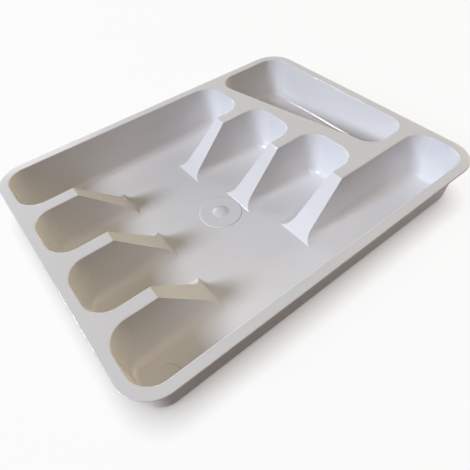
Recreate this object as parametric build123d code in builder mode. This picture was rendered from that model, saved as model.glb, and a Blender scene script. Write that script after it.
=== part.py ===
import math
import os
from build123d import *

# Cutlery tray in one thin-walled moulding, in millimetres.
# +Z is up, X runs along the length, and the origin is at the middle of the underside.

# The shell
height = 52.0
wall = 2.0
wall_draft = 3.5
corner_radius = 21.0
widest_corner_share = 0.42
foot_radius = 6.0

# The rim, a flat flange as thick as the wall, with its outer edge just softened
rim_width = 10.0
rim_edge_radius = 0.7
edge_radius = 0.8

# The ridges that part the lanes, with a gap between their left and right halves
ridge_count = 3
ridge_width = 13.4
ridge_draft = 6.0
ridge_lower_draft = 6.4
ridge_band = 2.5
ridge_foot_radius = 12.0
slope_foot_radius = 1.5
front_lane_width = 59.5
middle_lane_width = 63.0
back_lane_width = 64.3
left_ridge_length = 49.7
left_slope_run = 49.3
right_ridge_length = 36.8
right_slope_run = 52.8

# The right ends of the lanes step forward, and the front lane runs the whole length
back_lane_length = 265.5
lane_step = 14.5

# The slanting cell that lies across the right end, widest at the back
cell_back_width = 100.3
cell_land = 9.2
cell_slant = 12.1

# The gate, on the line of the middle ridge: a low disc with a dome that is hollow from below
gate_shift = 20.0
gate_disc_radius = 22.9
gate_disc_rise = 0.5
gate_dome_radius = 9.0
gate_dome_rise = 1.8

# Two shallow ejector discs in the floor of the front lane
ejector_radius = 13.0
ejector_left_inset = 24.2
ejector_right_inset = 30.5
ejector_front_inset = 22.3
ejector_depth = 0.3

# How far a cut runs past the surface that it opens
overrun = 5.0

opening_length = back_lane_length + cell_land + cell_back_width
middle_lane_count = ridge_count - 1
lane_widths = [front_lane_width] + [middle_lane_width] * middle_lane_count + [back_lane_width]
opening_width = sum(lane_widths) + ridge_count * ridge_width
length = opening_length + 2 * rim_width
width = opening_width + 2 * rim_width
depth = height - wall
left = -opening_length / 2
right = opening_length / 2
front = -opening_width / 2
back = opening_width / 2


def slope(angle):
    """Sideways travel for each unit of height on a face that leans by the angle."""
    return math.tan(math.radians(angle))


# Front and back edge of each lane at rim level, from the front lane to the back one
lane_count = len(lane_widths)
lane_fronts = [front + sum(lane_widths[:lane]) + lane * ridge_width for lane in range(lane_count)]
lane_backs = [near + lane_width for near, lane_width in zip(lane_fronts, lane_widths)]
lane_middles = [(near + far) / 2 for near, far in zip(lane_fronts, lane_backs)]

# Right end of each lane at rim level
lane_ends = [right]
for lane in range(1, lane_count):
    lane_ends.append(left + back_lane_length + (lane_count - 1 - lane) * lane_step)


def drafted_block(outline, corner, top, drop, foot, foot_outline=None):
    """A block that narrows downwards from an outline, to the foot's outline where that is given,
    with a rounded foot."""
    shift = drop * slope(wall_draft)
    sides = zip(outline, outline[1:] + outline[:1])
    corner = min(corner, widest_corner_share * min(math.dist(start, end) for start, end in sides))
    with BuildPart() as block:
        with BuildSketch(Plane.XY.offset(top)) as plan:
            with BuildLine():
                Polyline(*outline, close=True)
            make_face()
            fillet(plan.vertices(), corner)
        with BuildSketch(Plane.XY.offset(top - drop)) as foot_plan:
            with BuildLine():
                Polyline(*(foot_outline or outline), close=True)
            make_face()
            if foot_outline is None:
                offset(amount=-shift, kind=Kind.INTERSECTION)
            fillet(foot_plan.vertices(), corner - shift)
        loft(ruled=True)
        if foot > 0:
            fillet(block.faces().sort_by(Axis.Z)[0].edges(), foot)
    return block.part


def rectangle(x_start, x_end, y_start, y_end, grow):
    """Corners of an upright rectangle in plan, moved outwards by grow."""
    return [
        (x_start - grow, y_start - grow),
        (x_end + grow, y_start - grow),
        (x_end + grow, y_end + grow),
        (x_start - grow, y_end + grow),
    ]


def lane_hollow(lane, grow):
    """The space in one lane: a drafted pocket, cut in by ridge sides that lean a little more
    below a narrow band and have a wide foot."""
    near = lane_fronts[lane]
    far = lane_backs[lane]
    near_is_ridge = lane > 0
    far_is_ridge = lane < lane_count - 1
    lower_shift = (depth - ridge_band) * slope(ridge_lower_draft)
    floor_shift = ridge_band * slope(ridge_draft) + lower_shift
    top_shift = floor_shift - (depth + overrun) * slope(ridge_lower_draft)
    near_floor = near + floor_shift if near_is_ridge else near - overrun
    near_top = near + top_shift if near_is_ridge else near - overrun
    far_floor = far - floor_shift if far_is_ridge else far + overrun
    far_top = far - top_shift if far_is_ridge else far + overrun
    plan = rectangle(left, lane_ends[lane], near, far, grow)
    drop = depth + grow
    end_inset = drop * slope(wall_draft)
    near_inset = drop * slope(ridge_draft if near_is_ridge else wall_draft)
    far_inset = drop * slope(ridge_draft if far_is_ridge else wall_draft)
    foot_plan = rectangle(
        left + end_inset, lane_ends[lane] - end_inset, near + near_inset, far - far_inset, grow
    )
    with BuildPart() as hollow:
        add(drafted_block(plan, corner_radius + grow, height, drop, foot_radius + grow, foot_plan))
        with BuildSketch(Plane.YZ) as section:
            with BuildLine():
                Polyline(
                    (near_floor, wall),
                    (far_floor, wall),
                    (far_top, height + overrun),
                    (near_top, height + overrun),
                    close=True,
                )
            make_face()
            feet = section.vertices().group_by(Axis.Y)[0]
            fillet(feet.filter_by(lambda foot: abs(foot.X) < back), ridge_foot_radius)
            if grow > 0:
                offset(amount=grow, kind=Kind.INTERSECTION)
        extrude(section.sketch, amount=length, both=True, mode=Mode.INTERSECT)
    return hollow.part


def ridge_gap(ridge, grow):
    """The space between the left and right half of one ridge, with a slope at either end."""
    left_top = left + left_ridge_length
    right_top = lane_ends[ridge + 1] - right_ridge_length
    left_lean = left_slope_run / depth
    right_lean = right_slope_run / depth
    with BuildPart() as gap:
        with BuildSketch(Plane.XZ.offset(-lane_middles[ridge])) as section:
            with BuildLine():
                Polyline(
                    (left_top + left_slope_run, wall),
                    (right_top - right_slope_run, wall),
                    (right_top + overrun * right_lean, height + overrun),
                    (left_top - overrun * left_lean, height + overrun),
                    close=True,
                )
            make_face()
            fillet(section.vertices().group_by(Axis.Z)[0], slope_foot_radius)
            if grow > 0:
                offset(amount=grow, kind=Kind.INTERSECTION)
        extrude(section.sketch, amount=lane_middles[ridge] - lane_middles[ridge + 1])
    return gap.part


def cell_hollow(grow):
    """The space in the cell: a drafted pocket whose left side slants across the tray."""
    cell_front = lane_backs[0] + ridge_width
    back_left = lane_ends[-1] + cell_land
    front_left = back_left + (back - cell_front) * slope(cell_slant)
    slanted_grow = grow / math.cos(math.radians(cell_slant))
    front_shift = slanted_grow - grow * slope(cell_slant)
    back_shift = slanted_grow + grow * slope(cell_slant)
    outline = [
        (front_left - front_shift, cell_front - grow),
        (right + grow, cell_front - grow),
        (right + grow, back + grow),
        (back_left - back_shift, back + grow),
    ]
    return drafted_block(outline, corner_radius + grow, height, depth + grow, foot_radius + grow)


def hollows(grow):
    """Every space that the tray holds things in, as a list of overlapping solids."""
    spaces = [lane_hollow(lane, grow) for lane in range(lane_count)]
    spaces += [ridge_gap(ridge, grow) for ridge in range(ridge_count)]
    spaces.append(cell_hollow(grow))
    return spaces


# What is left open underneath: inside the outer wall, but outside the shell round each space
core_top = height - wall
core_shift = wall * slope(wall_draft)
core_plan = rectangle(left, right, front, back, -core_shift)
with BuildPart() as cores:
    add(drafted_block(core_plan, corner_radius - core_shift, core_top, core_top, 0))
    for space in hollows(wall):
        add(space, mode=Mode.SUBTRACT)

# The rim: a flat flange round the top of the wall
with BuildPart() as rim:
    with BuildSketch(Plane.XY.offset(height)):
        RectangleRounded(length, width, corner_radius + rim_width)
    extrude(amount=-wall)
    fillet(rim.edges().filter_by(Axis.Z, reverse=True), rim_edge_radius)

# A low dome with a flat face, which makes the gate's boss and the hollow under it
def dome(radius, rise):
    """A cap of a ball, flat side down at the origin."""
    with BuildPart() as cap:
        with BuildSketch(Plane.XZ):
            with BuildLine():
                ball_radius = (radius**2 + rise**2) / (2 * rise)
                Line((0, rise), (0, 0))
                Line((0, 0), (radius, 0))
                RadiusArc((radius, 0), (0, rise), -ball_radius)
            make_face()
        revolve(axis=Axis.Z)
    return cap.part


# The whole moulding
gate_x = -gate_shift
gate_y = (lane_backs[1] + lane_fronts[2]) / 2
ejector_places = [
    (left + ejector_left_inset, front + ejector_front_inset),
    (right - ejector_right_inset, front + ejector_front_inset),
]
with BuildPart() as tray:
    add(rim.part)
    outer_plan = rectangle(left, right, front, back, wall)
    add(drafted_block(outer_plan, corner_radius + wall, height, height, foot_radius + wall))
    add(cores.part, mode=Mode.SUBTRACT)
    for space in hollows(0):
        add(space, mode=Mode.SUBTRACT)
    rim_edges = [wire.edges() for wire in tray.faces().sort_by(Axis.Z)[-1].inner_wires()]
    fillet([edge for edges in rim_edges for edge in edges], edge_radius)
    with BuildSketch(Plane.XY.offset(wall)):
        with Locations((gate_x, gate_y)):
            Circle(gate_disc_radius)
    extrude(amount=gate_disc_rise)
    with Locations((gate_x, gate_y, wall + gate_disc_rise)):
        add(dome(gate_dome_radius, gate_dome_rise))
    with Locations((gate_x, gate_y, 0)):
        add(dome(gate_dome_radius, gate_dome_rise), mode=Mode.SUBTRACT)
    with BuildSketch(Plane.XY.offset(wall)):
        with Locations(*ejector_places):
            Circle(ejector_radius)
    extrude(amount=-ejector_depth, mode=Mode.SUBTRACT)

tray.part.label = "tray"
os.makedirs("parts", exist_ok=True)
export_step(tray.part, "parts/tray.step")
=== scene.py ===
import math

import bmesh
import bpy
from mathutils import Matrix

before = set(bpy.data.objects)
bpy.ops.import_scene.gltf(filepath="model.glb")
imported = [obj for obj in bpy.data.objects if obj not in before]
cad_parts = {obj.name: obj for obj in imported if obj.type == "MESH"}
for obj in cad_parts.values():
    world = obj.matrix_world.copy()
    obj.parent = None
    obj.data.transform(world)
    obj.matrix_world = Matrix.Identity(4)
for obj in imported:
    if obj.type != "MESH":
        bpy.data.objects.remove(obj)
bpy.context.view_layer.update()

scene = bpy.context.scene
scene.view_settings.view_transform = "Standard"


# The tray: one injection moulding in white polypropylene, with a satin skin from a polished mould.
# The moulded shape comes from the frame as it is. Its plastic has a fine grain, a slow waviness
# from cooling, faint scuffs along the lanes where cutlery slides, and a painted highlight that makes
# its edges pale.
plastic_white = (0.80, 0.79, 0.81, 1.0)
plastic_shade = (0.765, 0.755, 0.765, 1.0)
plastic_ior = 1.49
plastic_specular = 0.42
tone_scale = 9.0
tone_detail = 3.0
shade_until = 0.35
white_from = 0.65
scuff_stretch = (11.0, 330.0, 40.0)
scuff_scale = 1.0
scuff_detail = 2.0
scuff_start = 0.6
scuff_full = 0.78
scuff_colour = (0.72, 0.7, 0.7, 1.0)
scuff_share = 0.35
scuff_rough = 0.15
# The paler colour of the painted highlight along the edges.
painted_edge_highlight = (0.9, 0.89, 0.9, 1.0)
edge_radius = 0.0009
edge_samples = 8
edge_gain = 9.0
edge_share = 0.55
edge_rough = 0.28
satin_scale = 38.0
satin_detail = 2.0
satin_low = 0.3
satin_high = 0.7
glossiest_rough = 0.1
dullest_rough = 0.155
wave_scale = 24.0
wave_detail = 1.0
wave_depth = 0.0002
grain_scale = 1300.0
grain_detail = 2.0
grain_depth = 0.000004


def add_noise(tree, coordinates, scale, detail):
    """A cloudy pattern of values from 0 to 1 on the given coordinates."""
    noise = tree.nodes.new("ShaderNodeTexNoise")
    noise.inputs["Scale"].default_value = scale
    noise.inputs["Detail"].default_value = detail
    tree.links.new(coordinates, noise.inputs["Vector"])
    return noise.outputs["Fac"]


def add_range(tree, value, low, high, low_result, high_result):
    """A value that goes from one result to the other as the given one goes from low to high,
    and stays at either result beyond."""
    spread = tree.nodes.new("ShaderNodeMapRange")
    spread.inputs["From Min"].default_value = low
    spread.inputs["From Max"].default_value = high
    spread.inputs["To Min"].default_value = low_result
    spread.inputs["To Max"].default_value = high_result
    tree.links.new(value, spread.inputs["Value"])
    return spread.outputs["Result"]


def add_ramp(tree, value, low, high, low_colour, high_colour):
    """A colour that goes from one to the other as the value goes from low to high."""
    ramp = tree.nodes.new("ShaderNodeValToRGB")
    low_stop, high_stop = ramp.color_ramp.elements
    low_stop.position = low
    low_stop.color = low_colour
    high_stop.position = high
    high_stop.color = high_colour
    tree.links.new(value, ramp.inputs["Fac"])
    return ramp.outputs["Color"]


def add_overlay(tree, base, colour, share):
    """The base colour with another one laid over it by the given share."""
    overlay = tree.nodes.new("ShaderNodeMix")
    overlay.data_type = "RGBA"
    overlay.inputs["B"].default_value = colour
    tree.links.new(share, overlay.inputs["Factor"])
    tree.links.new(base, overlay.inputs["A"])
    return overlay.outputs["Result"]


def feed(tree, slot, value):
    """Gives a node's input either a plain number or what another node puts out."""
    if isinstance(value, float):
        slot.default_value = value
    else:
        tree.links.new(value, slot)


def add_math(tree, operation, *values, clamp=False):
    """The result of one sum on patterns and plain numbers, held from 0 to 1 if it is clamped."""
    result = tree.nodes.new("ShaderNodeMath")
    result.operation = operation
    result.use_clamp = clamp
    for slot, value in zip(result.inputs, values):
        feed(tree, slot, value)
    return result.outputs["Value"]


plastic = bpy.data.materials.new("satin_white_plastic")
plastic.use_nodes = True
tree = plastic.node_tree
skin = tree.nodes["Principled BSDF"]
skin.inputs["IOR"].default_value = plastic_ior
skin.inputs["Specular IOR Level"].default_value = plastic_specular
place = tree.nodes.new("ShaderNodeTexCoord").outputs["Object"]

# Slow change of tone, as pigment and wall thickness vary.
tone = add_noise(tree, place, tone_scale, tone_detail)
tone_colour = add_ramp(tree, tone, shade_until, white_from, plastic_shade, plastic_white)

# Scuffs: thin streaks that run along the lanes.
stretch = tree.nodes.new("ShaderNodeMapping")
stretch.inputs["Scale"].default_value = scuff_stretch
tree.links.new(place, stretch.inputs["Vector"])
streaks = add_noise(tree, stretch.outputs["Vector"], scuff_scale, scuff_detail)
scuff_amount = add_range(tree, streaks, scuff_start, scuff_full, 0.0, scuff_share)
scuffed_colour = add_overlay(tree, tone_colour, scuff_colour, scuff_amount)

# Edges: the moulding's corners are softened, and painted pale as a highlight where the softened
# surface faces another way than the moulded one.
softened = tree.nodes.new("ShaderNodeBevel")
softened.samples = edge_samples
softened.inputs["Radius"].default_value = edge_radius
moulded = tree.nodes.new("ShaderNodeNewGeometry")
agreement = tree.nodes.new("ShaderNodeVectorMath")
agreement.operation = "DOT_PRODUCT"
tree.links.new(softened.outputs["Normal"], agreement.inputs[0])
tree.links.new(moulded.outputs["Normal"], agreement.inputs[1])
turned_away = add_math(
    tree, "MULTIPLY_ADD", agreement.outputs["Value"], -edge_gain, edge_gain, clamp=True
)
edge_highlight_and_dulling = add_math(tree, "MULTIPLY", turned_away, edge_share)
# Painted highlight: the edges are laid over with a paler colour.
tree.links.new(add_overlay(tree, scuffed_colour, painted_edge_highlight, edge_highlight_and_dulling), skin.inputs["Base Color"])

# Gloss: satin, uneven over a few centimetres, and duller along the scuffs and the edges.
cloud = add_noise(tree, place, satin_scale, satin_detail)
satin = add_range(tree, cloud, satin_low, satin_high, glossiest_rough, dullest_rough)
scuffed_rough = add_math(tree, "MULTIPLY_ADD", scuff_amount, scuff_rough / scuff_share, satin)
skin_rough = add_math(tree, "MULTIPLY_ADD", edge_highlight_and_dulling, edge_rough / edge_share, scuffed_rough)
tree.links.new(skin_rough, skin.inputs["Roughness"])

# Relief: the waviness of a cooled wall, and the fine grain of the skin on top of it.
surface = softened.outputs["Normal"]
for scale, detail, relief_depth in (
    (wave_scale, wave_detail, wave_depth),
    (grain_scale, grain_detail, grain_depth),
):
    relief = tree.nodes.new("ShaderNodeBump")
    relief.inputs["Distance"].default_value = relief_depth
    tree.links.new(add_noise(tree, place, scale, detail), relief.inputs["Height"])
    tree.links.new(surface, relief.inputs["Normal"])
    surface = relief.outputs["Normal"]
tree.links.new(surface, skin.inputs["Normal"])

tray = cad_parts["tray"]
tray.data.materials.clear()
tray.data.materials.append(plastic)


# The surface that the tray stands on: a plain pale sheet. A little of the tray's shadow on it is
# lit, and most is painted shade close under the tray.
# It looks pale, but it tints the light that it throws back as dark wood does.
floor_reach = 3.0
floor_pale = (0.93, 0.93, 0.93, 1.0)
floor_wood = (0.13, 0.05, 0.026, 1.0)
floor_glow_share = 0.9
contact_reach = 0.026
# The colour of the painted shade close under the tray.
painted_contact_shade = (0.09, 0.04, 0.025, 1.0)
contact_pale = (1.0, 1.0, 1.0, 1.0)

sheet = bmesh.new()
bmesh.ops.create_grid(sheet, x_segments=1, y_segments=1, size=floor_reach)
floor_mesh = bpy.data.meshes.new("floor")
sheet.to_mesh(floor_mesh)
sheet.free()
floor = bpy.data.objects.new("floor", floor_mesh)
scene.collection.objects.link(floor)


def add_seen_share(tree):
    """A socket that is 1 for what the camera, a reflection or clear plastic shows, and else 0."""
    path = tree.nodes.new("ShaderNodeLightPath").outputs
    direct_or_mirrored = add_math(tree, "MAXIMUM", path["Is Camera Ray"], path["Is Glossy Ray"])
    return add_math(tree, "MAXIMUM", direct_or_mirrored, path["Is Transmission Ray"])


def add_shader_mix(tree, first, second, share):
    """One finish that passes into another by the given share."""
    mix = tree.nodes.new("ShaderNodeMixShader")
    feed(tree, mix.inputs["Fac"], share)
    tree.links.new(first, mix.inputs[1])
    tree.links.new(second, mix.inputs[2])
    return mix.outputs["Shader"]


# What the eye and the gloss see is an almost white glow, with a painted dark warm shade close under
# the tray.
# What throws light back onto the tray is dark wood.
ground = bpy.data.materials.new("pale_floor")
ground.use_nodes = True
tree = ground.node_tree
tree.nodes.remove(tree.nodes["Principled BSDF"])
pale = tree.nodes.new("ShaderNodeBsdfDiffuse")
pale.inputs["Color"].default_value = floor_pale
wood = tree.nodes.new("ShaderNodeBsdfDiffuse")
wood.inputs["Color"].default_value = floor_wood
contact = tree.nodes.new("ShaderNodeAmbientOcclusion")
contact.inputs["Distance"].default_value = contact_reach
# Painted shade: the glow darkens where the tray closes the floor in.
painted_shade_tone = add_ramp(tree, contact.outputs["AO"], 0.0, 1.0, painted_contact_shade, contact_pale)
glow = tree.nodes.new("ShaderNodeEmission")
tree.links.new(painted_shade_tone, glow.inputs["Color"])
look = add_shader_mix(tree, pale.outputs["BSDF"], glow.outputs["Emission"], floor_glow_share)
finish = add_shader_mix(tree, wood.outputs["BSDF"], look, add_seen_share(tree))
tree.links.new(finish, tree.nodes["Material Output"].inputs["Surface"])
floor.data.materials.append(ground)


# The light: a cool window at the left end, a warm wall at the right one, a grey wall behind and
# a dim warm ceiling. Every lamp faces the tray from the same distance, and the room's pale
# background shows only to the camera and in reflections.
room_colour = (0.93, 0.94, 0.96, 1.0)
lamp_distance = 3.2
quarter_turn = 90.0

room = bpy.data.worlds.new("room")
room.use_nodes = True
backdrop = room.node_tree.nodes["Background"]
backdrop.inputs["Color"].default_value = room_colour
room.node_tree.links.new(add_seen_share(room.node_tree), backdrop.inputs["Strength"])
scene.world = room


def add_lamp(name, turn, rise, size, watts, colour, lights=True, reflects=True):
    """A soft oval lamp, placed by its turn round the tray and its rise above the floor in
    degrees. It may be kept from lighting the surfaces, or from showing in their gloss."""
    lamp_data = bpy.data.lights.new(name, "AREA")
    lamp_data.shape = "ELLIPSE"
    lamp_data.size, lamp_data.size_y = size
    lamp_data.energy = watts
    lamp_data.color = colour
    lamp = bpy.data.objects.new(name, lamp_data)
    lamp.visible_diffuse = lights
    lamp.visible_glossy = reflects
    side = lamp_distance * math.cos(math.radians(rise))
    lamp.location = (
        side * math.cos(math.radians(turn)),
        side * math.sin(math.radians(turn)),
        lamp_distance * math.sin(math.radians(rise)),
    )
    tip = math.radians(quarter_turn - rise)
    lamp.rotation_euler = (tip, 0.0, math.radians(turn + quarter_turn))
    scene.collection.objects.link(lamp)


add_lamp("window", turn=172.0, rise=32.0, size=(0.8, 0.8), watts=84.0, colour=(0.80, 0.875, 1.0))

# A high pane of the window, which shows as a bright line where the plastic curves.
add_lamp(
    "glint", turn=129.0, rise=45.0, size=(0.8, 0.22), watts=60.0, colour=(0.92, 0.97, 1.0),
    lights=False,
)
add_lamp("right_wall", turn=6.0, rise=15.0, size=(2.2, 2.2), watts=72.0, colour=(0.66, 0.555, 0.325))
add_lamp("back_wall", turn=88.0, rise=14.0, size=(2.2, 2.2), watts=72.0, colour=(0.61, 0.61, 0.62))

# The ceiling fills the shade, and leaves no streaks in the gloss.
add_lamp(
    "ceiling", turn=270.0, rise=66.0, size=(2.2, 2.2), watts=72.0, colour=(0.28, 0.23, 0.165),
    reflects=False,
)


# The camera: close above the front left corner of the tray, as the photograph was taken.
# Its lens, place and turn were fitted to the tray's rim and ridges.
sensor_width = 36.0
focal_length = 31.08
camera_place = (-0.18303, -0.26359, 0.32076)
camera_turn = (40.454, 3.0919, -38.0936)

camera_lens = bpy.data.cameras.new("camera")
camera_lens.sensor_width = sensor_width
camera_lens.lens = focal_length
camera = bpy.data.objects.new("camera", camera_lens)
camera.location = camera_place
camera.rotation_euler = tuple(math.radians(turn) for turn in camera_turn)
scene.collection.objects.link(camera)
scene.camera = camera
